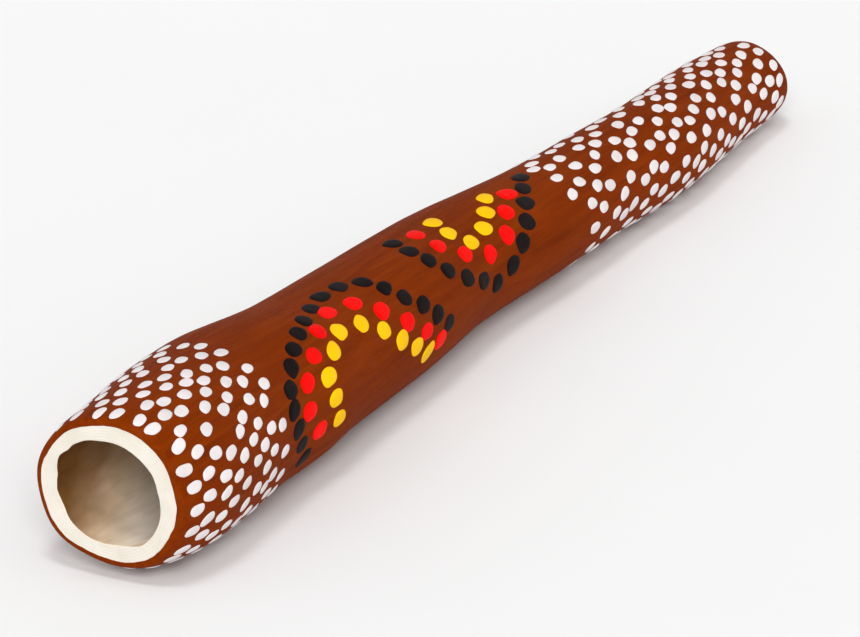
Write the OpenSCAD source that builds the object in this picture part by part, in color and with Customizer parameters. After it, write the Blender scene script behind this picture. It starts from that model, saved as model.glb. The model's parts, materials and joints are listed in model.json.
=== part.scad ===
// Didgeridoo: a hollowed tree branch with a wide bell, a beeswax mouthpiece and
// a dot painting on an ochre ground. It lies along X with the bell towards -X
// and rests on the plane z = 0.
//
// A place on the trunk is given by u, the share of the length from the bell face,
// and phi, the angle in degrees from the top (+Z) round towards the front (-Y).

/* [Trunk] */
// Length of the wooden trunk from face to face
trunk_length = 1100; // [1000:10:1250]
// Mean radius where the trunk is widest, just behind the bell
bell_radius = 70.4; // [67:0.2:76]
// How much wider than high the trunk is, as a share of its radius
ovality = 0.035; // [0:0.005:0.045]
// Radius of the worn edge round the bell
bell_round = 4.5; // [4:0.5:8]
// Length of the rounded shoulder at the mouth end
mouth_round = 14; // [10:1:18]
// How far the shoulder drops towards the mouth end
mouth_drop = 8; // [4:0.5:9]
// Depth worn off the underside where the trunk lies on the ground
rest_wear = 1; // [0.6:0.1:1.4]

/* [Bore] */
// Radius of the bore at the bell face
bell_bore = 43.5; // [38:0.5:46]
// Radius of the bore behind the wax
mouth_bore = 18; // [16:0.5:18.5]
// Radius of the seat cut for the wax
seat_radius = 20; // [19.5:0.1:20.5]
// Depth of the seat cut for the wax
seat_depth = 22; // [12:1:28]

/* [Wax mouthpiece] */
// Radius of the hole that is blown into
wax_bore = 15; // [13:0.5:16.5]
// Outer radius of the wax rim
wax_rim_radius = 24; // [22.5:0.5:25]
// How far the wax rim stands out from the wood
wax_rim_height = 5; // [4.5:0.5:7]

/* [Paint] */
// Thickness of the ochre ground coat
coat_thickness = 0.6; // [0.4:0.1:1]
// Height of a painted dab above the ground coat
dab_height = 0.7; // [0.4:0.1:1]
// Length of a white dab, along the trunk
white_length = 14; // [11:0.5:15]
// Width of a white dab, round the trunk
white_width = 8.5; // [6:0.5:9.5]
// Length of a black, red or yellow dab
colour_length = 19; // [15:0.5:20]
// Width of a black, red or yellow dab
colour_width = 13; // [9:0.5:14]

/* [Hidden] */

wood_colour = [0.96, 0.92, 0.85];
ochre_colour = [0.50, 0.19, 0.00];
wax_colour = [0.72, 0.50, 0.20];
white_colour = [0.89, 0.86, 0.86];
black_colour = [0.14, 0.11, 0.11];
red_colour = [0.95, 0.05, 0.03];
yellow_colour = [1.00, 0.80, 0.00];

// Steps round the trunk, and rings along its body, its worn edges and its bore
sides = 32;
body_rings = 34;
edge_steps = 4;
bore_rings = 32;

// Two places that touch the ground, as shares of the length
rest_near_bell = 0.16;
rest_near_mouth = 0.85;

// Outer radius along the trunk, as a share of bell_radius
girth = [
    [0, 0.872], [0.04, 0.962], [0.1, 1], [0.18, 0.966], [0.23, 0.918], [0.27, 0.864],
    [0.33, 0.83], [0.42, 0.79], [0.5, 0.725], [0.6, 0.666], [0.7, 0.627], [0.8, 0.614],
    [0.87, 0.59], [0.94, 0.55], [1, 0.5]
];
// Bore radius along the trunk, from mouth_bore (0) to bell_bore (1)
flare = [
    [0, 1], [0.05, 1.14], [0.1, 1.25], [0.15, 1.25], [0.2, 1.2], [0.27, 1.08],
    [0.36, 0.98], [0.5, 0.75], [0.64, 0.53], [0.82, 0.43], [0.9, 0.31], [0.95, 0.1],
    [0.975, 0], [1, 0]
];
// Sideways wander of the centre line, in millimetres towards the rear
wander = [
    [0, -1], [0.045, -5], [0.09, -1.5], [0.136, 3], [0.18, 5.5], [0.23, 1], [0.3, 1.5],
    [0.4, 3], [0.5, 7.5], [0.55, 4], [0.6, 0], [0.66, -3], [0.73, -4], [0.8, -7],
    [0.87, -3], [0.92, 1], [1, 2]
];

// Lines of the painted arches on the front, as [u, phi]
bell_black_line = [
    [0.181, 113], [0.16, 77], [0.177, 53], [0.223, 29],
    [0.3, 9], [0.341, 22], [0.356, 47], [0.406, 88]
];
bell_red_line = [
    [0.197, 98], [0.182, 79], [0.192, 62], [0.244, 34],
    [0.283, 25], [0.306, 33], [0.337, 61], [0.393, 98]
];
bell_yellow_line = [
    [0.225, 98], [0.215, 70], [0.233, 55], [0.265, 43],
    [0.297, 52], [0.341, 82], [0.374, 101]
];
mouth_black_line = [
    [0.42, 0], [0.416, 26], [0.433, 54], [0.475, 78],
    [0.505, 88], [0.543, 67], [0.572, 40], [0.61, 0]
];
mouth_red_line = [
    [0.448, 6], [0.446, 29], [0.46, 45], [0.49, 61],
    [0.521, 58], [0.543, 40], [0.574, 14]
];
mouth_yellow_line = [[0.48, 4], [0.475, 24], [0.492, 46], [0.53, 26], [0.554, 7]];

// --- Curves -----------------------------------------------------------------

// Smooth curve through a table of [place, value] pairs
function row(t, i) = t[max(0, min(len(t) - 1, i))];
function slope(t, i) =
    (row(t, i + 1)[1] - row(t, i - 1)[1]) / (row(t, i + 1)[0] - row(t, i - 1)[0]);
function span(t, u, i = 0) = i >= len(t) - 2 || u < t[i + 1][0] ? i : span(t, u, i + 1);
function curve(t, u) =
    let (
        i = span(t, u),
        h = t[i + 1][0] - t[i][0],
        s = (u - t[i][0]) / h,
        r = 1 - s
    )
    t[i][1] * (1 + 2 * s) * r * r + t[i + 1][1] * s * s * (3 - 2 * s)
        + h * slope(t, i) * s * r * r - h * slope(t, i + 1) * s * s * r;

// Smooth path through a list of [u, phi] points, at t from 0 to len - 1
function path_at(p, t) = [
    for (c = [0, 1]) curve([for (i = [0 : len(p) - 1]) [i, p[i][c]]], t)
];

// --- Trunk shape ------------------------------------------------------------

// A branch is never quite round: an oval with low, slowly turning lumps
function lumps(u, phi) =
    1 - ovality * cos(2 * phi) + 0.012 * cos(3 * phi - 69 - 240 * u)
        - 0.008 * cos(4 * phi - 150 * u) + 0.005 * cos(2 * phi + 900 * u)
        + rim_waves(u, phi);

// The rim of the bell is cut by hand, so its outline has low corners
rim_depth = 0.04;
function rim_waves(u, phi) =
    (1 - min(1, u / rim_depth))
        * (0.006 * cos(5 * phi - 66) + 0.006 * cos(6 * phi + 122) + 0.005 * cos(8 * phi - 54));

// Termites ate the bore out: it is uneven and off centre at the bell
function bore_lumps(u, phi) =
    1 + (1 - u) * (0.022 * cos(phi + 124) + 0.042 * cos(2 * phi + 133)
        + 0.019 * cos(4 * phi - 150) + 0.008 * cos(5 * phi - 3) + 0.006 * cos(8 * phi - 113));

// Radius lost to the worn edges at a distance a from the bell face
function edge_loss(a) =
    a < bell_round ? bell_round * (1 - sqrt(max(0, 1 - pow(1 - a / bell_round, 2))))
    : a > trunk_length - mouth_round
    ? mouth_drop * (1 - sqrt(max(0, 1 - pow((a - trunk_length) / mouth_round + 1, 2))))
    : 0;

function wood_radius(u, phi) =
    bell_radius * curve(girth, u) * lumps(u, phi) - edge_loss(u * trunk_length);
function bore_radius(u, phi) =
    (mouth_bore + (bell_bore - mouth_bore) * curve(flare, u)) * bore_lumps(u, phi);

function side_angle(k) = (k + 0.5) * 360 / sides;
function depth_below(u) =
    max([for (k = [0 : sides - 1])
        -cos(side_angle(k)) * (wood_radius(u, side_angle(k)) + coat_thickness)]);
function reach(u, way) =
    max([for (k = [0 : sides - 1])
        way * (curve(wander, u) - sin(side_angle(k)) * wood_radius(u, side_angle(k)))]);

// The centre line runs straight between its two resting places, seen from the side,
// and lies lower by what is worn off there
rest_slope = (depth_below(rest_near_mouth) - depth_below(rest_near_bell))
    / (rest_near_mouth - rest_near_bell);
function rest_height(u) = depth_below(rest_near_bell) + rest_slope * (u - rest_near_bell);
lift = max([for (i = [0 : 100]) depth_below(i / 100) - rest_height(i / 100)]) - rest_wear;
side_shift = (max([for (i = [0 : 100]) reach(i / 100, -1)])
    - max([for (i = [0 : 100]) reach(i / 100, 1)])) / 2;

bell_x = -(trunk_length + wax_rim_height) / 2;
function centre(u) =
    [bell_x + u * trunk_length, curve(wander, u) + side_shift, rest_height(u) + lift];
function out_from(u, phi, radius) = centre(u) + radius * [0, -sin(phi), cos(phi)];
function coat_point(u, phi) = out_from(u, phi, wood_radius(u, phi) + coat_thickness);

// A point that would lie below a level slides up to it along its own circle, which
// leaves a narrow flat under each resting place
function worn_from(u, phi, radius, level) =
    let (c = centre(u), deep = c[2] - level)
    -radius * cos(phi) > deep
    ? [c[0], c[1] - sign(sin(phi)) * sqrt(pow(radius, 2) - pow(deep, 2)), level]
    : out_from(u, phi, radius);

// --- Rings and skins --------------------------------------------------------

body_start = bell_round / trunk_length;
body_end = 1 - mouth_round / trunk_length;
outer_places = concat(
    [for (i = [0 : edge_steps - 1])
        body_start * (1 - cos(90 * i / edge_steps))],
    [for (i = [0 : body_rings])
        body_start + (body_end - body_start) * i / body_rings],
    [for (i = [1 : edge_steps])
        body_end + (1 - body_end) * sin(90 * i / edge_steps)]
);
bore_places = [for (i = [bore_rings : -1 : 0]) i / bore_rings];

function wood_ring(u, extra) =
    [for (k = [0 : sides - 1])
        worn_from(u, side_angle(k), wood_radius(u, side_angle(k)) + extra,
            coat_thickness - extra)];
function bore_ring(u) =
    [for (k = [0 : sides - 1])
        out_from(u, side_angle(k), bore_radius(u, side_angle(k)))];

// Closes a list of rings into one hollow solid: out along the outside, back inside
module skin(rings) {
    count = len(rings);
    polyhedron(
        points = [for (ring = rings) each ring],
        faces = [
            for (i = [0 : count - 1], k = [0 : sides - 1])
                let (
                    a = i * sides + k,
                    b = i * sides + (k + 1) % sides,
                    c = (i + 1) % count * sides + (k + 1) % sides,
                    d = (i + 1) % count * sides + k
                )
                each [[a, c, b], [a, d, c]]
        ],
        convexity = 6
    );
}

// --- Painted dabs -----------------------------------------------------------

dab_sink = 0.8 * coat_thickness;

// Small steps along and round the trunk, over which its slope is taken
step_u = 0.004;
step_phi = 3;

// Mean tilt of a dab against the trunk, and how far its tilt may stray from that
tilt = 9;
colour_tilt_stray = 12;
white_tilt_stray = 10;

// How far a dab of a row may stray from its place, as [u, phi]
row_stray = [0.0012, 0.6];

// The painter leaves wider gaps along the trunk than round it
along_weight = 0.55;

// Straight steps between two points of a path, when its length is measured
path_steps = 12;

// White dabs: least spacing in dab sizes, and stray as a share of their pitch
white_spacing = 1.15;
white_stray = 0.2;

function unit(v) = v / norm(v);
function along(u, phi) = unit(coat_point(u + step_u, phi) - coat_point(u - step_u, phi));
function normal(u, phi) =
    unit(cross(coat_point(u, phi + step_phi) - coat_point(u, phi - step_phi), along(u, phi)));

// One long round-ended pad of paint, sunk a little into the coat
module dab(place, length, width, turn) {
    t = along(place[0], place[1]);
    n = normal(place[0], place[1]);
    b = cross(n, t);
    p = coat_point(place[0], place[1]);
    multmatrix([
        [t[0], b[0], n[0], p[0]],
        [t[1], b[1], n[1], p[1]],
        [t[2], b[2], n[2], p[2]],
        [0, 0, 0, 1]
    ])
        rotate([0, 0, turn])
            translate([0, 0, -dab_sink])
                linear_extrude(height = dab_sink + dab_height)
                    union() {
                        square([length - width, width], center = true);
                        for (side = [-1, 1])
                            translate([side * (length - width) / 2, 0])
                                circle(d = width, $fn = 48);
                    }
}

// Lowest point of a pad: none reaches down to the ground
function dab_low(place, length, width) =
    let (t = along(place[0], place[1]), n = normal(place[0], place[1]))
    coat_point(place[0], place[1])[2] + dab_height * n[2]
        - abs(t[2]) * length / 2 - abs(cross(n, t)[2]) * width / 2;

// The painter's spacing between two places
function gap(p, q) =
    let (r = bell_radius * curve(girth, (p[0] + q[0]) / 2))
    norm([along_weight * (p[0] - q[0]) * trunk_length, (p[1] - q[1]) * r * PI / 180]);

// Running length of a path at its steps, as pairs of length and path place
function running(p, i = 0, sum = 0, out = []) =
    i > (len(p) - 1) * path_steps ? out
    : let (
        here = i / path_steps,
        step = i == 0 ? 0 : gap(path_at(p, here), path_at(p, here - 1 / path_steps))
    )
    running(p, i + 1, sum + step, concat(out, [[sum + step, here]]));

// A row of dabs evenly spread along a path, each a little off its place
module dab_row(line, count, turn, seed) {
    steps = running(line);
    total = steps[len(steps) - 1][0];
    off = rands(-1, 1, 3 * count, seed);
    for (i = [0 : count - 1]) {
        place = path_at(line, lookup(total * i / (count - 1), steps))
            + [row_stray[0] * off[3 * i], turn + row_stray[1] * off[3 * i + 1]];
        if (dab_low(place, colour_length, colour_width) > 0)
            dab(place, colour_length, colour_width,
                tilt + colour_tilt_stray * off[3 * i + 2]);
    }
}

// Two white dabs clear each other when ovals round them do
function turn_between(p, q) = let (d = abs(p - q) % 360) min(d, 360 - d);
function clear_of(p, q) =
    let (
        r = bell_radius * curve(girth, p[0]),
        dx = (p[0] - q[0]) * trunk_length / white_length,
        dy = turn_between(p[1], q[1]) * r * PI / 180 / white_width
    )
    norm([dx, dy]) > white_spacing;
function sifted(places, i = 0, kept = []) =
    i == len(places) ? kept
    : let (p = places[i])
    sifted(places, i + 1, len([for (q = kept) if (!clear_of(p, q)) q]) == 0
        ? concat(kept, [p]) : kept);

// Places of white dabs between two shares of the length: staggered rows with a
// hand-made unevenness
function scatter(first, last, rows, columns, seed) =
    let (off = rands(-1, 1, 2 * rows * columns, seed), pitch = (last - first) / (rows - 1))
    [for (i = [0 : rows - 1], j = [0 : columns - 1])
        let (n = 2 * (i * columns + j))
        [first + pitch * (i + white_stray * off[n]),
            (j + (i % 2) / 2 + white_stray * off[n + 1]) * 360 / columns]];

module white_dabs(places, seed) {
    off = rands(-1, 1, len(places), seed);
    for (i = [0 : len(places) - 1])
        if (dab_low(places[i], white_length, white_width) > 0)
            dab(places[i], white_length, white_width, tilt + white_tilt_stray * off[i]);
}

// The painted fields end in a soft wave round the trunk
function bell_field_end(phi) = 0.15 + 0.005 * cos(2 * phi - 100);
function mouth_field_start(phi) = 0.626 + 0.016 * pow(sin(phi - 30), 2);

bell_field = sifted([
    for (p = scatter(first = 0.012, last = 0.155, rows = 10, columns = 23, seed = 11))
        if (p[0] < bell_field_end(p[1])) p
]);
mouth_field = sifted([
    for (p = scatter(first = 0.63, last = 0.98, rows = 23, columns = 14, seed = 29))
        if (p[0] > mouth_field_start(p[1])) p
]);

// --- Sub-parts --------------------------------------------------------------

module wooden_trunk() {
    color(wood_colour)
        difference() {
            skin(concat(
                [for (u = outer_places) wood_ring(u, 0)],
                [for (u = bore_places) bore_ring(u)]
            ));
            translate(centre(1) - [seat_depth, 0, 0])
                rotate([0, 90, 0])
                    cylinder(h = seat_depth + 1, r = seat_radius, $fn = 64);
        }
}

module ochre_coat() {
    last = len(outer_places) - 1;
    color(ochre_colour)
        skin(concat(
            [for (u = outer_places) wood_ring(u, coat_thickness)],
            [for (i = [last : -1 : 0]) wood_ring(outer_places[i], 0)]
        ));
}

// A sleeve in the seat with a rolled rim over the end of the wood
module wax_mouthpiece() {
    roll = wax_rim_height / 2;
    lip = 2;
    color(wax_colour)
        translate(centre(1))
            rotate([0, 90, 0])
                rotate_extrude($fn = 96)
                    difference() {
                        union() {
                            translate([wax_bore, -seat_depth])
                                square([seat_radius - wax_bore, seat_depth]);
                            translate([wax_bore, 0])
                                square([wax_rim_radius - roll - wax_bore, wax_rim_height]);
                            translate([wax_rim_radius - roll, roll])
                                circle(r = roll, $fn = 48);
                        }
                        translate([wax_bore, wax_rim_height - lip])
                            difference() {
                                translate([-1, 0])
                                    square([lip + 1, lip + 1]);
                                translate([lip, 0])
                                    circle(r = lip, $fn = 48);
                            }
                    }
}

module bell_white_dots() {
    color(white_colour) white_dabs(bell_field, 5);
}

module mouth_white_dots() {
    color(white_colour) white_dabs(mouth_field, 7);
}

module front_bell_arch_black() {
    color(black_colour) dab_row(bell_black_line, 18, 0, 101);
}

module front_bell_arch_red() {
    color(red_colour) dab_row(bell_red_line, 11, 0, 102);
}

module front_bell_arch_yellow() {
    color(yellow_colour) dab_row(bell_yellow_line, 10, 0, 103);
}

module front_mouth_arch_black() {
    color(black_colour) dab_row(mouth_black_line, 13, 0, 104);
}

module front_mouth_arch_red() {
    color(red_colour) dab_row(mouth_red_line, 7, 0, 105);
}

module front_mouth_arch_yellow() {
    color(yellow_colour) dab_row(mouth_yellow_line, 6, 0, 106);
}

module rear_bell_arch_black() {
    color(black_colour) dab_row(bell_black_line, 18, 180, 201);
}

module rear_bell_arch_red() {
    color(red_colour) dab_row(bell_red_line, 11, 180, 202);
}

module rear_bell_arch_yellow() {
    color(yellow_colour) dab_row(bell_yellow_line, 10, 180, 203);
}

module rear_mouth_arch_black() {
    color(black_colour) dab_row(mouth_black_line, 13, 180, 204);
}

module rear_mouth_arch_red() {
    color(red_colour) dab_row(mouth_red_line, 7, 180, 205);
}

module rear_mouth_arch_yellow() {
    color(yellow_colour) dab_row(mouth_yellow_line, 6, 180, 206);
}

wooden_trunk();
ochre_coat();
wax_mouthpiece();
bell_white_dots();
mouth_white_dots();
front_bell_arch_black();
front_bell_arch_red();
front_bell_arch_yellow();
front_mouth_arch_black();
front_mouth_arch_red();
front_mouth_arch_yellow();
rear_bell_arch_black();
rear_bell_arch_red();
rear_bell_arch_yellow();
rear_mouth_arch_black();
rear_mouth_arch_red();
rear_mouth_arch_yellow();
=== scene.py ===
"""A didgeridoo lying on a pale studio floor: bare wood, ochre ground coat, beeswax
mouthpiece and raised paint dabs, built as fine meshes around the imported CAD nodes."""

import json
import math
import random

import bmesh
import bpy
import numpy as np
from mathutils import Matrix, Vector, noise
from mathutils.bvhtree import BVHTree


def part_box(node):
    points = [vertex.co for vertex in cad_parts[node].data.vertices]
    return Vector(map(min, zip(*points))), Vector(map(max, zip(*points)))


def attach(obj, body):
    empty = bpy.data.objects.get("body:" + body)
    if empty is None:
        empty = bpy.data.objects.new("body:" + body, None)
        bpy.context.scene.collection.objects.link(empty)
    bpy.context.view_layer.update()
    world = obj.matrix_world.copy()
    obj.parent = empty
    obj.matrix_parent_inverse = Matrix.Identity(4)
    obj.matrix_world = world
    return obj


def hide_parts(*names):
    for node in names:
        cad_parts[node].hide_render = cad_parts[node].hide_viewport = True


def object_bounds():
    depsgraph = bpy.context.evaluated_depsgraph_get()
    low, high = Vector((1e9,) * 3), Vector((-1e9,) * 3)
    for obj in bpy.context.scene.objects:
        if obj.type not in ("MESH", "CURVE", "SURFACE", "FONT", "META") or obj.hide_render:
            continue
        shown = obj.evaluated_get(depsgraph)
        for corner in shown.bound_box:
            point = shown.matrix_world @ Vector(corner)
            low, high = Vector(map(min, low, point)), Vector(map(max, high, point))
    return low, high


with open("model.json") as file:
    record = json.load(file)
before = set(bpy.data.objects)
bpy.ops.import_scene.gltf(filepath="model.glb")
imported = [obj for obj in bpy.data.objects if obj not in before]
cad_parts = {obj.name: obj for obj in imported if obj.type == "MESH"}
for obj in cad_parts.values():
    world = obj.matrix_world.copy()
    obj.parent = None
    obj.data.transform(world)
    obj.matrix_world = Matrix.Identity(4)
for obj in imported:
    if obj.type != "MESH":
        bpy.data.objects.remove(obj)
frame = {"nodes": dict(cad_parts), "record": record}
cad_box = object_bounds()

MM = 0.001
BODY = "root"

# --- Trunk mesh -------------------------------------------------------------
CAD_SIDES = 32
COAT_SIDES = 256
WOOD_SIDES = 160
COAT_STEP = 2.6 * MM
HIDDEN_STEP = 12 * MM
BORE_STEP = 4 * MM
EDGE_SPLITS = 4

# --- Small scale of the hand work -------------------------------------------
PAINT_LAP = 1.3 * MM
PAINT_FILM = 0.28 * MM
LIP_ROUND = 1.3 * MM
GRAIN_RIDGE = 0.09 * MM
BRANCH_LUMP = 0.45 * MM
WOOD_INSET = 0.05 * MM
# A hair's breadth that keeps two surfaces from lying in one plane
HAIR = 0.02 * MM
# Swellings and ridges of the branch: how close they come along and around it, per metre
LUMPS_ALONG, LUMPS_AROUND = 9, 26
RIDGES_ALONG, RIDGES_AROUND, RIDGE_SHIFT = 11, 210, 40
RELIEF_FADE = 8 * MM
# The coat's wavering edge on an end face, as shares of PAINT_LAP
LAP_MEAN, LAP_WAVER, LAP_WAVES = 0.65, 0.6, 3
# Gnawed wood of the bore: deep hollows, fine ones, and the quieter stretch at the lip
GNAW_DEEP, GNAW_FINE = 0.9 * MM, 0.5 * MM
GNAW_AT_LIP, GNAW_FULL_DEPTH = 0.35, 40 * MM
SAW_WAVE = 0.12 * MM

# Nibs (inwards) and hollows (outwards) left on the bore's lip: place round the
# bore from the top towards the front in degrees, width in degrees, height in metres
LIP_NIBS = [
    (243, 7, -1.1 * MM), (262, 6, 1.3 * MM), (279, 5, -1.2 * MM),
    (296, 6, 1.2 * MM), (309, 5, -1.0 * MM), (76, 8, -0.7 * MM), (143, 7, 0.6 * MM),
]
NIB_LENGTH = 22 * MM

rng = random.Random(20260)


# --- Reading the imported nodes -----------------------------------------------

def node_points(name):
    """A CAD node's distinct points as an array."""
    data = frame["nodes"][name].data
    co = np.zeros(len(data.vertices) * 3)
    data.vertices.foreach_get("co", co)
    return np.unique(co.reshape(-1, 3).round(6), axis=0)


def by_station(points, tolerance=2e-5):
    """Groups points by their place along the trunk: [(x, [[y, z], ...]), ...]."""
    points = points[np.argsort(points[:, 0])]
    cuts = np.nonzero(np.diff(points[:, 0]) > tolerance)[0] + 1
    return [(g[:, 0].mean(), g[:, 1:]) for g in np.split(points, cuts)]


# What lies nearer the axis than this share of the wood's radius is on the bore's wall
INSIDE_SHARE = 0.9
SIDE_ANGLES = (np.arange(CAD_SIDES) + 0.5) * 2 * math.pi / CAD_SIDES
# How near the bottom a ring's two lowest points lie, in steps between sides
LOW_SHARE = 1.42


def nearest_side(yz, centre):
    """Which of the CAD's side angles each point of a ring lies on, and if it is a low one."""
    angle = np.arctan2(-(yz[:, 0] - centre[0]), yz[:, 1] - centre[1]) % (2 * math.pi)
    side = np.round(angle / (2 * math.pi) * CAD_SIDES - 0.5).astype(int) % CAD_SIDES
    # the worn flat spreads the two lowest points of a ring apart along its circle
    low = np.abs(angle - math.pi) < LOW_SHARE * 2 * math.pi / CAD_SIDES
    side[low] = CAD_SIDES // 2 - (angle[low] < math.pi)
    return side, low


def ring_centre(yz):
    """The centre that a ring's points were swept around: where their rays meet."""
    centre = yz.mean(0)
    for _ in range(4):
        side, low = nearest_side(yz, centre)
        phi = SIDE_ANGLES[side[~low]]
        across = np.stack([np.cos(phi), np.sin(phi)], 1)
        centre = np.linalg.lstsq(across, (across * yz[~low]).sum(1), rcond=None)[0]
    return centre


def ring_radii(yz, centre):
    """Smallest and largest radius on each side angle."""
    side, _ = nearest_side(yz, centre)
    r = np.hypot(*(yz - centre).T)
    low = np.array([r[side == k].min() for k in range(CAD_SIDES)])
    high = np.array([r[side == k].max() for k in range(CAD_SIDES)])
    return low, high


def read_shell():
    """Stations, centres, wood radii and coat radii of the trunk's outside."""
    stations = by_station(node_points("ochre_coat"))
    xs = np.array([x for x, _ in stations])
    centres = np.array([ring_centre(yz) for _, yz in stations])
    radii = [ring_radii(yz, c) for (_, yz), c in zip(stations, centres)]
    return xs, centres, np.array([r[0] for r in radii]), np.array([r[1] for r in radii])


def read_bore(xs, centres, wood, seat_start):
    """Stations and radii of the bore, from the bell face to the wax's seat."""
    found = []
    for x, yz in by_station(node_points("wooden_trunk")):
        if x > seat_start - 0.5 * MM:
            continue
        centre = np.array([np.interp(x, xs, centres[:, i]) for i in (0, 1)])
        inside = yz[np.hypot(*(yz - centre).T) < INSIDE_SHARE * np.interp(x, xs, wood.mean(1))]
        if len(inside) >= CAD_SIDES:
            found.append((x, ring_radii(inside, centre)[0]))
    return np.array([f[0] for f in found]), np.array([f[1] for f in found])


def read_seat_radius():
    """Radius of the round seat that the wax sits in."""
    points = node_points("wooden_trunk")
    floor = points[np.abs(points[:, 0] - seat_start) < 0.2 * MM]
    return float(np.hypot(*(floor[:, 1:] - mouth_centre).T).max())


def mount(name):
    return next(m for m in frame["record"]["mounts"] if m["name"] == name)


# --- Smooth curves through the CAD's rings ----------------------------------

def hermite(t, values, at):
    """Smooth interpolation of rows of values, given at t, to the places in at."""
    slopes = np.gradient(values, t, axis=0)
    i = np.clip(np.searchsorted(t, at, side="right") - 1, 0, len(t) - 2)
    h = (t[i + 1] - t[i])
    s = (at - t[i]) / h
    shape = (-1,) + (1,) * (values.ndim - 1)
    h, s = h.reshape(shape), s.reshape(shape)
    r = 1 - s
    return (
        values[i] * (1 + 2 * s) * r * r
        + values[i + 1] * s * s * (3 - 2 * s)
        + h * slopes[i] * s * r * r
        - h * slopes[i + 1] * s * s * r
    )


def more_sides(radii, sides):
    """Each ring's radii on more side angles, by its Fourier series."""
    return np.fft.irfft(np.fft.rfft(radii, axis=1), n=sides, axis=1) * sides / CAD_SIDES


def side_angles(sides):
    return math.pi / CAD_SIDES + np.arange(sides) * 2 * math.pi / sides


def sweep(x, centre, radii):
    """Rings of points at stations x with the given centres and radii."""
    phi = side_angles(radii.shape[1])
    y = centre[:, :1] - radii * np.sin(phi)
    z = centre[:, 1:] + radii * np.cos(phi)
    return np.stack([np.repeat(x[:, None], len(phi), 1), y, z], 2)


def profile_length(x, radii):
    """Running length of the trunk's side profile, so worn edges get their share."""
    steps = np.hypot(np.diff(x), np.diff(radii.mean(1)))
    return np.concatenate([[0], np.cumsum(steps)])


def fine_places(t, step):
    """Places along a profile: even steps, and every short CAD step split up."""
    places = [t[0]]
    for a, b in zip(t[:-1], t[1:]):
        n = max(int(math.ceil((b - a) / step)), EDGE_SPLITS if b - a < 4 * MM else 1)
        places += list(a + (b - a) * np.arange(1, n + 1) / n)
    return np.array(places)


def fbm(p, octaves=3):
    return noise.fractal(Vector(p), 0.9, 2.1, octaves, noise_basis="PERLIN_ORIGINAL")


# --- Mesh helpers -----------------------------------------------------------

def collection_add(obj):
    bpy.context.scene.collection.objects.link(obj)
    return obj


def mesh_object(name, points, faces, smooth=True):
    mesh = bpy.data.meshes.new(name)
    mesh.from_pydata([tuple(p) for p in points], [], faces)
    mesh.polygons.foreach_set("use_smooth", [smooth] * len(mesh.polygons))
    bm = bmesh.new()
    bm.from_mesh(mesh)
    bmesh.ops.recalc_face_normals(bm, faces=bm.faces)
    bm.to_mesh(mesh)
    bm.free()
    mesh.update()
    return collection_add(bpy.data.objects.new(name, mesh))


def hollow_solid(name, rings):
    """One closed solid from rings that run along the outside and back inside."""
    count, sides = len(rings), rings[0].shape[0]
    faces = []
    for i in range(count):
        a, b = i * sides, (i + 1) % count * sides
        for k in range(sides):
            n = (k + 1) % sides
            faces.append((a + k, a + n, b + n, b + k))
    return mesh_object(name, np.concatenate(rings), faces)


def give(obj, material, slot, *nodes):
    """Sets a piece's material, the CAD it stands for, and its body; the slot argument is not used."""
    obj.data.materials.clear()
    for m in material if isinstance(material, list) else [material]:
        obj.data.materials.append(m)
    if nodes:
        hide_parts(*nodes)
    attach(obj, BODY)


# --- Trunk ------------------------------------------------------------------

shell_x, shell_centre, shell_wood, shell_coat = read_shell()
wax_low, wax_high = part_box("wax_mouthpiece")
bell_x, mouth_x = shell_x[0], shell_x[-1]
seat_start = wax_low.x
bore_x, bore_r = read_bore(shell_x, shell_centre, shell_wood, seat_start)
bell_centre, mouth_centre = shell_centre[0], shell_centre[-1]
coat_thickness = float((shell_coat - shell_wood).mean())
ground = float(cad_box[0].z)
seat_radius = read_seat_radius()


def centre_at(x):
    return np.stack([np.interp(x, shell_x, shell_centre[:, i]) for i in (0, 1)], -1)


def shell_rings(radii, sides, step):
    """The outside of the trunk as fine smooth rings."""
    t = profile_length(shell_x, shell_coat)
    at = fine_places(t, step)
    x = hermite(t, shell_x, at)
    centre = hermite(t, shell_centre, at)
    return x, centre, hermite(t, more_sides(radii, sides), at)


def worn_level(rings, level):
    """Rings with nothing below a level, as the trunk's underside is worn where it rests."""
    worn = rings.copy()
    worn[..., 2] = np.maximum(worn[..., 2], level)
    return worn


def branch_relief(x, phi, radius):
    """Low swellings and fine long ridges of a scraped branch, in metres."""
    around = Vector((radius * math.cos(phi), radius * math.sin(phi), 0))
    lump = fbm((x * LUMPS_ALONG, around.x * LUMPS_AROUND, around.y * LUMPS_AROUND), 2)
    along = x * RIDGES_ALONG + RIDGE_SHIFT
    ridge = fbm((along, around.x * RIDGES_AROUND, around.y * RIDGES_AROUND), 2)
    return BRANCH_LUMP * lump + GRAIN_RIDGE * ridge


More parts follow.
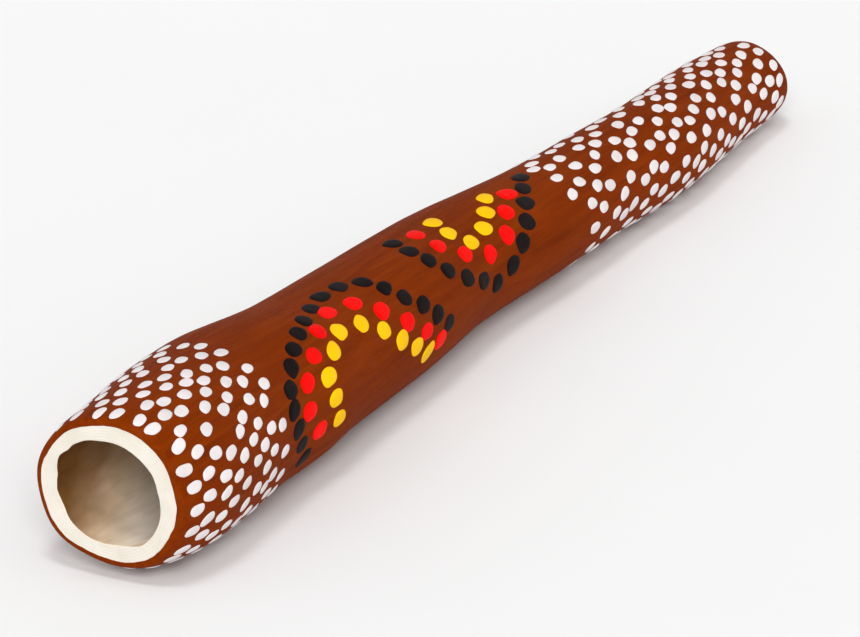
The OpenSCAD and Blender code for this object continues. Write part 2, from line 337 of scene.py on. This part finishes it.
def make_coat():
    x, centre, radii = shell_rings(shell_coat, COAT_SIDES, COAT_STEP)
    phi = side_angles(COAT_SIDES)
    for i, xi in enumerate(x):
        fade = min(1, (xi - bell_x) / RELIEF_FADE, (mouth_x - xi) / RELIEF_FADE)
        if fade > 0:
            radii[i] += [fade * branch_relief(xi, p, r) for p, r in zip(phi, radii[i])]
    outer = worn_level(sweep(x, centre, radii), ground)
    x_in, centre_in, radii_in = shell_rings(shell_wood, COAT_SIDES, HIDDEN_STEP)
    inner = worn_level(sweep(x_in, centre_in, radii_in), ground + coat_thickness)[::-1]

    def lap(ring_x, centre, edge, way):
        """Paint brushed a little way over an end face, with a wavering edge."""
        waver = np.array([
            LAP_MEAN + LAP_WAVER * fbm(
                (math.cos(p) * LAP_WAVES + way * 7, math.sin(p) * LAP_WAVES, way), 3)
            for p in phi
        ])
        reach = PAINT_LAP * np.clip(waver, 0.05, 2)

        def ring(drop, out):
            return sweep(np.array([ring_x + way * out]), centre[None], (edge - drop)[None])[0]

        return [
            ring(reach, HAIR),
            ring(reach * 0.8, 0.7 * PAINT_FILM),
            ring(reach * 0.35, PAINT_FILM),
            ring(np.full_like(reach, HAIR), 0.6 * PAINT_FILM),
        ]

    bell_lap = lap(bell_x, bell_centre, radii[0], -1)
    mouth_lap = lap(mouth_x, mouth_centre, radii[-1], 1)[::-1]
    rings = bell_lap + list(outer[1:-1]) + mouth_lap + list(inner)
    return hollow_solid("ochre_ground_coat", rings)


def lip_nibs(phi, depth):
    """How far the hand-cut lip stands off the smooth bore, at each angle."""
    degrees = np.degrees(phi)
    off = sum(h * np.exp(-((degrees - at) / width) ** 2) for at, width, h in LIP_NIBS)
    return off * math.exp(-((depth / NIB_LENGTH) ** 2))


def bore_gnawing(x, phi, radius):
    """How deep the wood is eaten away at a point of the bore's wall, in metres."""
    across, up = radius * math.cos(phi), radius * math.sin(phi)
    deep = fbm((x * 16 + 3, across * 38, up * 38), 3)
    fine = fbm((x * 5, across * 150, up * 150), 2)
    return GNAW_DEEP * deep + GNAW_FINE * fine


def rounded_lip(depth):
    """Extra radius where the bore's edge is rounded over, next to the bell face."""
    inwards = max(0, 1 - depth / LIP_ROUND)
    return LIP_ROUND * (1 - math.sqrt(max(0, 1 - inwards ** 2)))


def make_bore():
    """Radii and rings of the gnawed bore, with the rings closer together at the lip."""
    phi = side_angles(WOOD_SIDES)
    start, length = bore_x[0], bore_x[-1] - bore_x[0]
    fine = np.arange(0, 1.0001, 1 / math.ceil(length / BORE_STEP))
    near = np.array([0, 0.25, 0.5, 0.75, 1, 1.4, 1.9, 2.5, 3.2]) * LIP_ROUND
    at = np.unique(np.concatenate([near + start, start + fine * length]))
    radii = hermite(bore_x, more_sides(bore_r, WOOD_SIDES), at)
    for i, xi in enumerate(at):
        depth = xi - start
        rough = min(1, GNAW_AT_LIP + depth / GNAW_FULL_DEPTH)
        radii[i] += [rough * bore_gnawing(xi, p, r) for p, r in zip(phi, radii[i])]
        radii[i] += lip_nibs(phi, depth)
        radii[i] += rounded_lip(depth)
    return radii, sweep(at, centre_at(at), radii)


def end_face(x, centre, inner, edge, shares, way):
    """Rings across an end face, with the slight waves that a saw leaves."""
    rings = []
    for s in shares:
        r = inner + (edge - inner) * s
        ring = sweep(np.array([x]), centre[None], r[None])[0]
        depth = [SAW_WAVE * fbm((y * 60, z * 60, way * 5), 2) for _, y, z in ring]
        ring[:, 0] += way * (np.array(depth) - SAW_WAVE) * min(1, 4 * (1 - s))
        rings.append(ring)
    return rings


def make_wood():
    """The trunk's bare wood: end faces, bore and the seat for the wax."""
    x_out, centre_out, radii_out = shell_rings(shell_wood, WOOD_SIDES, HIDDEN_STEP)
    outer = worn_level(
        sweep(x_out, centre_out, radii_out - WOOD_INSET), ground + coat_thickness + WOOD_INSET)
    radii, bore = make_bore()
    seat_r = np.full(WOOD_SIDES, seat_radius)
    end_edge = radii_out[-1] - WOOD_INSET
    mouth_face = end_face(mouth_x, mouth_centre, seat_r, end_edge, [0.8, 0.55, 0.3, 0], 1)
    seat = sweep(np.array([seat_start]), mouth_centre[None], seat_r[None])
    neck_x = np.array([seat_start - HAIR])
    neck = sweep(neck_x, centre_at(neck_x), radii[-1][None])
    bell_face = end_face(
        bell_x, bell_centre, radii[0], radii_out[0] - WOOD_INSET,
        np.linspace(0.04, 0.97, 12), -1,
    )
    rings = list(outer) + mouth_face + list(seat) + list(neck) + list(bore[::-1]) + bell_face
    return hollow_solid("bare_wood_trunk", rings)


coat = make_coat()
wood = make_wood()
coat_tree = BVHTree.FromPolygons(
    [v.co for v in coat.data.vertices], [p.vertices for p in coat.data.polygons]
)


# --- Beeswax mouthpiece -----------------------------------------------------

WAX_SIDES = 160
WAX_STEP = 15
WAX_LIP = 2 * MM
WAX_CLEAR = 0.05 * MM
# Nothing of the rim stands further out than this past the CAD's
WAX_PAST_RIM = 0.4 * MM
# The rim is pressed out of round only this far from the hole
WAX_INNER_BAND = 3 * MM


def wax_profile(hole):
    """Places and radii from the sleeve over the rolled rim and back down the hole."""
    rim = (wax_high.y - wax_low.y) / 2
    roll = (wax_high.x - mouth_x) / 2
    profile = [(x, seat_radius - WAX_CLEAR) for x in np.linspace(seat_start, mouth_x, 6)]
    for turn in range(-90, 91, WAX_STEP):
        a = math.radians(turn)
        profile.append((mouth_x + roll + roll * math.sin(a), rim - roll + roll * math.cos(a)))
    flat = np.linspace(rim - roll, hole + WAX_LIP, 5)[1:-1]
    profile += [(wax_high.x, r) for r in flat]
    for turn in range(0, 91, WAX_STEP):
        a = math.radians(turn)
        back, above = WAX_LIP * (1 - math.cos(a)), WAX_LIP * (1 - math.sin(a))
        profile.append((wax_high.x - back, hole + above))
    profile += [(x, hole) for x in np.linspace(wax_high.x - WAX_LIP, seat_start, 12)[1:]]
    return profile


def wax_point(x, r, hole, turn):
    """A point of the wax, moved by the dents and presses of the fingers."""
    axis = (wax_low + wax_high) / 2
    soft = min(1, max(0, (x - mouth_x) / (2 * MM)))
    c, s = math.cos(turn), math.sin(turn)
    dent = fbm((c * 2.2, s * 2.2, x * 90), 3)
    press = math.cos(5 * turn + 0.7) * 0.25 + math.cos(8 * turn + 2) * 0.15
    bulge = (r > hole + WAX_INNER_BAND) * soft * (0.9 * dent + press) * MM
    inner = (r <= hole + WAX_INNER_BAND) * 0.25 * MM * dent
    radius = r + bulge * 0.8 + abs(inner)
    shift = soft * (r > hole + 1 * MM) * 0.5 * MM * fbm((c * 3, s * 3, r * 99), 2)
    return min(x + shift, wax_high.x + WAX_PAST_RIM), axis.y - radius * s, axis.z + radius * c


def make_wax():
    """A sleeve and rolled rim of wax, pressed into place with the fingers."""
    hole = mount("mouth_bore")["dims"]["r_mm"] * MM
    turns = [2 * math.pi * k / WAX_SIDES for k in range(WAX_SIDES)]
    rings = [np.array([wax_point(x, r, hole, p) for p in turns]) for x, r in wax_profile(hole)]
    return hollow_solid("beeswax_mouthpiece", rings)


wax = make_wax()


# --- Paint dabs -------------------------------------------------------------

# How far dabs differ: in size, height, lean and the dimple in the middle
DAB_SIZE = (0.94, 1.06)
DAB_TALL = (0.8, 1.2)
DAB_LEAN = 0.2
DAB_DIMPLE = 0.25
DIMPLE_WIDTH = 0.3
# The outline's two, three and five lobes, each with the range of its depth
DAB_LOBES = (2, 3, 5)
DAB_WOBBLE = ((0.02, 0.065), (0.015, 0.045), (0.005, 0.02))
DAB_BLUNTNESS = 0.88
DAB_DOME, DAB_SHOULDER = 3.2, 0.62
# How far the closed underside is sunk into the coat, and where a dab is laid from
DAB_EDGE_SINK, DAB_ROOT_SINK, DAB_MIDDLE_SINK = 0.02 * MM, 0.3 * MM, 0.35 * MM
DAB_ROOT_SHARE = 0.96
DROP_FROM, DROP_REACH = 8 * MM, 30 * MM


def islands(name):
    """The separate pads of a CAD node, each as an array of its points."""
    bm = bmesh.new()
    bm.from_mesh(frame["nodes"][name].data)
    bmesh.ops.remove_doubles(bm, verts=bm.verts, dist=1e-6)
    seen, found = set(), []
    for first in bm.verts:
        if first.index in seen:
            continue
        seen.add(first.index)
        stack, group = [first], []
        while stack:
            v = stack.pop()
            group.append(v.co[:])
            for e in v.link_edges:
                o = e.other_vert(v)
                if o.index not in seen:
                    seen.add(o.index)
                    stack.append(o)
        found.append(np.array(group))
    bm.free()
    return sorted(found, key=lambda g: (round(g[:, 0].mean(), 5), round(g[:, 1].mean(), 5)))


def pad_frame(points):
    """A pad's middle, its long, cross and outward directions, and its half sizes."""
    middle = points.mean(0)
    _, axes = np.linalg.eigh(np.cov((points - middle).T))
    normal, long = axes[:, 0], axes[:, 2]
    away = np.concatenate([[0], middle[1:] - centre_at(middle[0])])
    normal = normal if normal @ away > 0 else -normal
    long = long if long[0] > 0 else -long
    cross = np.cross(normal, long)
    return middle, long, cross, normal, np.ptp(points @ long) / 2, np.ptp(points @ cross) / 2


def blunt(share):
    """Fills out an ellipse a little, as a dab pressed on with a stick does."""
    return math.copysign(abs(share) ** DAB_BLUNTNESS, share)


def dab_points(pad, height, segments, rings, spread, first):
    """One raised dab of paint laid on the coat: points and faces, closed below."""
    middle, long, cross, normal, a, b = pad
    a, b = a * spread[0], b * spread[1]
    # five turns are drawn for each dab, and its outline uses the first three
    phase = [rng.uniform(0, 2 * math.pi) for _ in range(5)]
    size = rng.uniform(*DAB_SIZE)
    wobble = [rng.uniform(*depth) for depth in DAB_WOBBLE]
    lean = Vector((rng.uniform(-DAB_LEAN, DAB_LEAN), rng.uniform(-DAB_LEAN, DAB_LEAN)))
    tall = height * rng.uniform(*DAB_TALL)
    dimple = rng.uniform(0, DAB_DIMPLE)

    def on_coat(u, v, lift):
        start = Vector(middle + long * u + cross * v + normal * DROP_FROM)
        hit, _, _, _ = coat_tree.ray_cast(start, Vector(-normal), DROP_REACH)
        base = hit if hit else Vector(middle + long * u + cross * v)
        return tuple(base + Vector(normal) * lift)

    def edge(angle):
        w = 1
        for depth, lobes, turn in zip(wobble, DAB_LOBES, phase):
            w += depth * math.cos(lobes * angle + turn)
        return size * w * a * blunt(math.cos(angle)), size * w * b * blunt(math.sin(angle))

    points, faces = [on_coat(0, 0, tall * (1 - dimple))], []
    for rho in rings:
        dome = (1 - rho ** DAB_DOME) ** DAB_SHOULDER
        dip = dimple * math.exp(-((rho / DIMPLE_WIDTH) ** 2))
        for k in range(segments):
            u, v = edge(2 * math.pi * k / segments)
            tilt = 1 + rho * (lean.x * u / a + lean.y * v / b)
            lift = tall * (dome - dip) * tilt if rho < 1 else -DAB_EDGE_SINK
            points.append(on_coat(rho * u, rho * v, lift))
    for k in range(segments):
        u, v = edge(2 * math.pi * k / segments)
        points.append(on_coat(DAB_ROOT_SHARE * u, DAB_ROOT_SHARE * v, -DAB_ROOT_SINK))
    points.append(on_coat(0, 0, -DAB_MIDDLE_SINK))
    last = len(points) - 1
    count = len(rings) + 1
    for k in range(segments):
        n = (k + 1) % segments
        faces.append((0, 1 + k, 1 + n))
        for i in range(count - 1):
            p, q = 1 + i * segments, 1 + (i + 1) * segments
            faces.append((p + k, q + k, q + n, p + n))
        bottom = 1 + (count - 1) * segments
        faces.append((bottom + n, bottom + k, last))
    return points, [tuple(first + i for i in f) for f in faces]


def make_dabs(name, node, height, segments, rings, spread):
    points, faces = [], []
    for group in islands(node):
        more, made = dab_points(pad_frame(group), height, segments, rings, spread, len(points))
        points += more
        faces += made
    return mesh_object(name, points, faces)


SMALL = {
    "height": 0.75 * MM, "segments": 22, "spread": (1.10, 1.12),
    "rings": [0.3, 0.55, 0.75, 0.88, 0.96, 1.0],
}
LARGE = {
    "height": 1.0 * MM, "segments": 30, "spread": (1.10, 1.12),
    "rings": [0.2, 0.4, 0.6, 0.76, 0.88, 0.95, 0.985, 1.0],
}


# --- Materials --------------------------------------------------------------

class Nodes:
    """Short hand for building one material's node tree."""

    def __init__(self, name):
        self.material = bpy.data.materials.new(name)
        self.material.use_nodes = True
        self.tree = self.material.node_tree
        self.shader = self.tree.nodes["Principled BSDF"]

    def add(self, kind, inputs=None, **settings):
        node = self.tree.nodes.new(kind)
        for key, value in settings.items():
            setattr(node, key, value)
        for key, value in (inputs or {}).items():
            self.put(node, key, value)
        return node

    def put(self, node, key, value):
        if isinstance(value, bpy.types.NodeSocket):
            self.tree.links.new(value, node.inputs[key])
        else:
            node.inputs[key].default_value = value

    def place(self, scale=(1, 1, 1), shift=(0, 0, 0)):
        """Object coordinates, shifted and stretched."""
        coords = self.add("ShaderNodeTexCoord").outputs["Object"]
        mapping = self.add("ShaderNodeMapping", {"Vector": coords, "Scale": scale, "Location": shift})
        return mapping.outputs["Vector"]

    def noise(self, scale, stretch=(1, 1, 1), detail=4.0, rough=0.55, distortion=0.0, vector=None):
        vector = vector if vector is not None else self.place(stretch)
        made = self.add("ShaderNodeTexNoise", {
            "Vector": vector, "Scale": scale, "Detail": detail,
            "Roughness": rough, "Distortion": distortion,
        })
        return made.outputs["Fac"]

    def ramp(self, factor, stops, interpolation="LINEAR"):
        made = self.add("ShaderNodeValToRGB", {"Fac": factor})
        made.color_ramp.interpolation = interpolation
        elements = made.color_ramp.elements
        while len(elements) > 1:
            elements.remove(elements[-1])
        elements[0].position, elements[0].color = stops[0][0], (*stops[0][1], 1)
        for position, colour in stops[1:]:
            elements.new(position).color = (*colour, 1)
        return made.outputs["Color"]

    def span(self, value, low, high, to_low=0.0, to_high=1.0, smooth=False):
        made = self.add("ShaderNodeMapRange", {
            "Value": value, "From Min": low, "From Max": high,
            "To Min": to_low, "To Max": to_high,
        })
        made.interpolation_type = "SMOOTHSTEP" if smooth else "LINEAR"
        return made.outputs["Result"]

    def mix(self, factor, a, b, blend="MIX"):
        made = self.add("ShaderNodeMix", data_type="RGBA", blend_type=blend)
        for key, value in ((0, factor), (6, a), (7, b)):
            if isinstance(value, bpy.types.NodeSocket):
                self.tree.links.new(value, made.inputs[key])
            else:
                made.inputs[key].default_value = value if key == 0 else (*value, 1)
        return made.outputs[2]

    def math(self, operation, a, b=0.0):
        made = self.add("ShaderNodeMath", operation=operation)
        self.put(made, 0, a)
        self.put(made, 1, b)
        return made.outputs[0]

    def bump(self, *heights):
        """Stacks bumps, each a (height socket, strength, distance)."""
        normal = None
        for height, strength, distance in heights:
            made = self.add("ShaderNodeBump", {
                "Height": height, "Strength": strength, "Distance": distance})
            if normal is not None:
                self.tree.links.new(normal, made.inputs["Normal"])
            normal = made.outputs["Normal"]
        self.tree.links.new(normal, self.shader.inputs["Normal"])

    def finish(self, colour, roughness, specular):
        self.put(self.shader, "Base Color", colour)
        self.put(self.shader, "Roughness", roughness)
        self.shader.inputs["Specular IOR Level"].default_value = specular
        return self.material


def ochre_material():
    """Brown ochre brushed on along the branch, a little thin over the grain."""
    n = Nodes("brushed_ochre_paint")
    grain = n.noise(9, (1.0, 14, 14), detail=6, rough=0.6, distortion=0.3)
    strokes = n.noise(5, (1.2, 26, 26), detail=3, rough=0.5, distortion=0.8)
    cloud = n.noise(7, (1, 2, 2), detail=3)
    fleck = n.noise(420, (0.35, 1, 1), detail=2)
    base = n.ramp(strokes, [
        (0.28, (0.172, 0.0215, 0.0)), (0.5, (0.197, 0.026, 0.0)), (0.72, (0.222, 0.032, 0.0002))])
    tone = n.ramp(cloud, [(0.3, (0.90, 0.88, 0.88)), (0.7, (1.07, 1.09, 1.1))])
    colour = n.mix(1.0, base, tone, "MULTIPLY")
    lines = n.ramp(grain, [(0.36, (0.66, 0.62, 0.6)), (0.46, (1, 1, 1))])
    colour = n.mix(0.5, colour, n.mix(1.0, colour, lines, "MULTIPLY"))
    rough = n.span(fleck, 0.3, 0.7, 0.58, 0.74)
    n.bump((grain, 0.35, 0.5 * MM), (strokes, 0.4, 0.5 * MM), (fleck, 0.12, 0.15 * MM))
    return n.finish(colour, rough, 0.025)


def across_face(n):
    """Coordinates across the bell face, measured from its centre."""
    coords = n.add("ShaderNodeTexCoord").outputs["Object"]
    shifted = n.add("ShaderNodeVectorMath", operation="SUBTRACT")
    n.put(shifted, 0, coords)
    shifted.inputs[1].default_value = (0, float(bell_centre[0]), float(bell_centre[1]))
    flat = n.add("ShaderNodeVectorMath", operation="MULTIPLY")
    n.put(flat, 0, shifted.outputs[0])
    flat.inputs[1].default_value = (0, 1, 1)
    return flat.outputs[0]


RING_STEP = 2.3 * MM
RING_WARP = 7 * MM


def wood_face_material():
    """Pale end grain: growth rings round the bore, fine rays, pores and a few checks."""
    n = Nodes("pale_end_grain")
    flat = across_face(n)
    length = n.add("ShaderNodeVectorMath", operation="LENGTH")
    n.put(length, 0, flat)
    heading = n.add("ShaderNodeVectorMath", operation="NORMALIZE")
    n.put(heading, 0, flat)
    warp = n.noise(18, detail=3)
    distance = n.math("ADD", length.outputs["Value"], n.math("MULTIPLY", warp, RING_WARP))
    rings = n.math("SINE", n.math("MULTIPLY", distance, 2 * math.pi / RING_STEP))
    rays = n.noise(26, detail=4, rough=0.7, vector=heading.outputs[0])
    checks = n.noise(9, detail=5, rough=0.75, vector=heading.outputs[0])
    pores = n.noise(1500, detail=2)
    cloud = n.noise(40, detail=4)
    base = n.ramp(cloud, [(0.3, (0.70, 0.655, 0.57)), (0.7, (0.775, 0.735, 0.66))])
    ringed = n.mix(n.span(rings, 0.3, 1.0, 0.0, 0.26), base, (0.61, 0.52, 0.39))
    rayed = n.mix(n.span(rays, 0.56, 0.66, 0.0, 0.22), ringed, (0.66, 0.53, 0.36))
    checked = n.mix(n.span(checks, 0.715, 0.73, 0.0, 0.75), rayed, (0.20, 0.11, 0.05))
    colour = n.mix(n.span(pores, 0.62, 0.72, 0.0, 0.35), checked, (0.50, 0.38, 0.24))
    rough = n.span(pores, 0.3, 0.7, 0.62, 0.78)
    n.bump((rings, 0.25, 0.1 * MM), (rays, 0.2, 0.15 * MM), (pores, 0.3, 0.1 * MM))
    return n.finish(colour, rough, 0.15)


# The bore's painted light and shade. It is palest, as painted light, along a line this share of
# BORE_SCALE off the axis, and darker up both walls and with height, as painted shade
BORE_SCALE = 46 * MM
BORE_PAINTED_LIGHT_LINE = 0.3
BORE_WALL_PAINTED_SHADE = 0.85
BORE_HEIGHT_PAINTED_SHADE = 0.36
BORE_TONE = 0.25
BORE_BLOTCH = 0.4
# It gets paler over a short depth, as painted light, and then dark
BORE_PAINTED_LIGHT_DEPTH = 120 * MM
BORE_PAINTED_LIGHT_GAIN = 1.15
BORE_DARK_FROM = 200 * MM
BORE_DARK_OVER = 220 * MM


def bore_material():
    """The inside of the branch: painted shade up its walls and with height, painted light low down and
    a little way in, and darker deep in.
    """
    n = Nodes("bore_wood_with_painted_light_and_shade")
    off_axis = n.add("ShaderNodeSeparateXYZ", {"Vector": across_face(n)})
    # painted shade: darker up both walls and with height; painted light: palest along one line low on
    # the wall
    from_line = n.math("ABSOLUTE", n.math("ADD", off_axis.outputs["Y"], BORE_PAINTED_LIGHT_LINE * BORE_SCALE))
    painted_shade_up_walls = n.math("MULTIPLY", from_line, -BORE_WALL_PAINTED_SHADE / BORE_SCALE)
    height = n.math("MULTIPLY", off_axis.outputs["Z"], -BORE_HEIGHT_PAINTED_SHADE / BORE_SCALE)
    side = n.math("ADD", n.math("ADD", painted_shade_up_walls, height), BORE_TONE)
    place = n.add("ShaderNodeTexCoord").outputs["Object"]
    split = n.add("ShaderNodeSeparateXYZ", {"Vector": place})
    face_x = float(bell_x)
    grain = n.noise(8, (1, 18, 18), detail=5, distortion=0.4)
    blotch = n.noise(28, (1, 2, 2), detail=4)
    uneven = n.math("MULTIPLY", n.math("SUBTRACT", blotch, 0.5), BORE_BLOTCH)
    # painted light: the wall gets paler over a short depth into the bore
    painted_light_further_in = n.span(split.outputs["X"], face_x, face_x + BORE_PAINTED_LIGHT_DEPTH, 0.0, BORE_PAINTED_LIGHT_GAIN)
    tone = n.math("ADD", n.math("ADD", side, painted_light_further_in), uneven)
    around = n.span(tone, -1.0, 1.0)
    # the ramp runs from painted shade, dark brown, to painted light, pale cream
    wall = n.ramp(around, [
        (0.0, (0.10, 0.030, 0.003)), (0.2, (0.17, 0.075, 0.018)), (0.4, (0.38, 0.23, 0.12)),
        (0.6, (0.74, 0.56, 0.38)), (0.8, (0.93, 0.81, 0.65)), (1.0, (0.96, 0.92, 0.85))])
    dark_start = face_x + BORE_DARK_FROM
    depth = n.span(split.outputs["X"], dark_start, dark_start + BORE_DARK_OVER, smooth=True)
    colour = n.mix(depth, wall, (0.075, 0.024, 0.005))
    lines = n.ramp(grain, [(0.35, (0.62, 0.56, 0.5)), (0.5, (1, 1, 1))])
    colour = n.mix(0.25, colour, n.mix(1.0, colour, lines, "MULTIPLY"))
    rough = n.span(blotch, 0.3, 0.7, 0.65, 0.85)
    n.bump((grain, 0.45, 0.6 * MM), (blotch, 0.25, 0.6 * MM))
    return n.finish(colour, rough, 0.12)


def paint_material(name, dark, mid, light, specular):
    """A thick dab of paint: slight unevenness in pigment and sheen."""
    n = Nodes(name)
    shade = n.noise(38, detail=2)
    speck = n.noise(700, detail=3)
    colour = n.ramp(shade, [(0.3, dark), (0.5, mid), (0.7, light)])
    rough = n.span(speck, 0.3, 0.7, 0.4, 0.56)
    n.bump((n.noise(260, (0.6, 1, 1), detail=3), 0.3, 0.25 * MM), (speck, 0.15, 0.08 * MM))
    return n.finish(colour, rough, specular)


def wax_material():
    n = Nodes("worked_beeswax")
    cloud = n.noise(60, detail=4)
    print_lines = n.noise(900, (1, 0.4, 1), detail=2)
    colour = n.ramp(cloud, [
        (0.3, (0.30, 0.135, 0.028)), (0.55, (0.46, 0.235, 0.055)), (0.75, (0.58, 0.33, 0.10))])
    rough = n.span(print_lines, 0.3, 0.7, 0.34, 0.5)
    n.bump((cloud, 0.3, 0.6 * MM), (print_lines, 0.2, 0.08 * MM))
    n.shader.inputs["Subsurface Weight"].default_value = 0.12
    n.shader.inputs["Subsurface Scale"].default_value = 0.004
    return n.finish(colour, rough, 0.45)


ochre = ochre_material()
end_grain = wood_face_material()
bore_wood = bore_material()
beeswax = wax_material()
PAINTS = {
    "white": paint_material(
        "white_dab_paint", (0.68, 0.63, 0.63), (0.755, 0.70, 0.70), (0.80, 0.75, 0.75), 0.1),
    "black": paint_material(
        "black_dab_paint", (0.006, 0.003, 0.003), (0.010, 0.006, 0.006), (0.015, 0.010, 0.010), 0.025),
    "red": paint_material(
        "red_dab_paint", (0.78, 0.001, 0.001), (0.88, 0.002, 0.001), (0.94, 0.005, 0.003), 0.03),
    "yellow": paint_material(
        "yellow_dab_paint", (0.86, 0.49, 0.0), (0.92, 0.53, 0.001), (0.95, 0.57, 0.003), 0.03),
}

give(coat, ochre, "ochre_paint", "ochre_coat")
give(wood, [end_grain, bore_wood], "bare_wood", "wooden_trunk")
for polygon in wood.data.polygons:
    middle = polygon.center
    off_axis = math.hypot(*(np.array(middle[1:]) - centre_at(middle[0])))
    inside = off_axis < INSIDE_SHARE * np.interp(middle[0], shell_x, shell_wood.mean(1))
    near_end = min(middle.x - bell_x, mouth_x - middle.x) < 3 * MM
    flat_face = abs(polygon.normal.x) > 0.7 and near_end
    polygon.material_index = 1 if inside and not flat_face else 0
give(wax, beeswax, "beeswax", "wax_mouthpiece")

for node in sorted(frame["nodes"]):
    if node.endswith("_dots"):
        give(make_dabs(node + "_paint", node, **SMALL), PAINTS["white"], "white_paint", node)
    elif "_arch_" in node:
        colour = node.rsplit("_", 1)[1]
        give(make_dabs(node + "_paint", node, **LARGE), PAINTS[colour], colour + "_paint", node)


# --- Studio -----------------------------------------------------------------

COVE_FOOT = 0.92
COVE_TOP = 0.46
# The camera: its angles in degrees, its lens in millimetres, and its distance and the
# place it aims at in lengths of the part
CAMERA_AZIMUTH, CAMERA_ELEVATION = -62.14, 22.2
CAMERA_LENS = 421.35
CAMERA_DISTANCE = 7.24
AIM_ALONG, AIM_UP = -0.0298, 0.0232


def make_floor():
    half = 45.0
    mesh = bpy.data.meshes.new("studio_floor")
    corners = [(-half, -half, 0), (half, -half, 0), (half, half, 0), (-half, half, 0)]
    mesh.from_pydata(corners, [], [(0, 1, 2, 3)])
    floor = collection_add(bpy.data.objects.new("studio_floor", mesh))
    n = Nodes("pale_floor")
    tint = n.ramp(n.noise(3, detail=2), [(0.3, (0.855, 0.855, 0.855)), (0.7, (0.865, 0.865, 0.865))])
    floor.data.materials.append(n.finish(tint, 0.9, 0.1))


def soft_sun(name, direction, strength, spread):
    """Even light from one direction, with the shadow edges of a wide soft box."""
    lamp = bpy.data.lights.new(name, "SUN")
    lamp.energy = strength
    lamp.angle = math.radians(spread)
    obj = collection_add(bpy.data.objects.new(name, lamp))
    way = Vector(direction).normalized()
    obj.location = way * 3
    obj.rotation_mode = "QUATERNION"
    obj.rotation_quaternion = way.to_track_quat("Z", "Y")


def make_light():
    """A pale cove, brighter at its foot, with one soft key overhead and a front fill."""
    world = bpy.data.worlds.new("studio_cove")
    bpy.context.scene.world = world
    world.use_nodes = True
    tree = world.node_tree
    background = tree.nodes["Background"]
    coords = tree.nodes.new("ShaderNodeTexCoord")
    split = tree.nodes.new("ShaderNodeSeparateXYZ")
    fade = tree.nodes.new("ShaderNodeMapRange")
    fade.interpolation_type = "SMOOTHSTEP"
    fade.inputs["To Min"].default_value = COVE_FOOT
    fade.inputs["To Max"].default_value = COVE_TOP
    tree.links.new(coords.outputs["Generated"], split.inputs["Vector"])
    tree.links.new(split.outputs["Z"], fade.inputs["Value"])
    tree.links.new(fade.outputs["Result"], background.inputs["Strength"])
    background.inputs["Color"].default_value = (1.0, 1.0, 1.0, 1)
    soft_sun("key_overhead", direction=(-0.30, -0.10, 1.0), strength=0.75, spread=14)
    soft_sun("fill_from_the_front", direction=(-0.77, -0.42, 0.56), strength=1.60, spread=25)


def make_camera():
    low, high = cad_box
    length = high.x - low.x
    azimuth, elevation = math.radians(CAMERA_AZIMUTH), math.radians(CAMERA_ELEVATION)
    back = Vector((
        math.sin(azimuth) * math.cos(elevation),
        -math.cos(azimuth) * math.cos(elevation),
        math.sin(elevation),
    ))
    aim = Vector((AIM_ALONG * length, 0, AIM_UP * length))
    data = bpy.data.cameras.new("camera")
    data.lens = CAMERA_LENS
    data.clip_end = 100
    camera = collection_add(bpy.data.objects.new("camera", data))
    camera.location = aim + back * CAMERA_DISTANCE * length
    camera.rotation_mode = "QUATERNION"
    camera.rotation_quaternion = back.to_track_quat("Z", "Y")
    bpy.context.scene.camera = camera


make_floor()
make_light()
make_camera()
bpy.context.scene.view_settings.view_transform = "Standard"
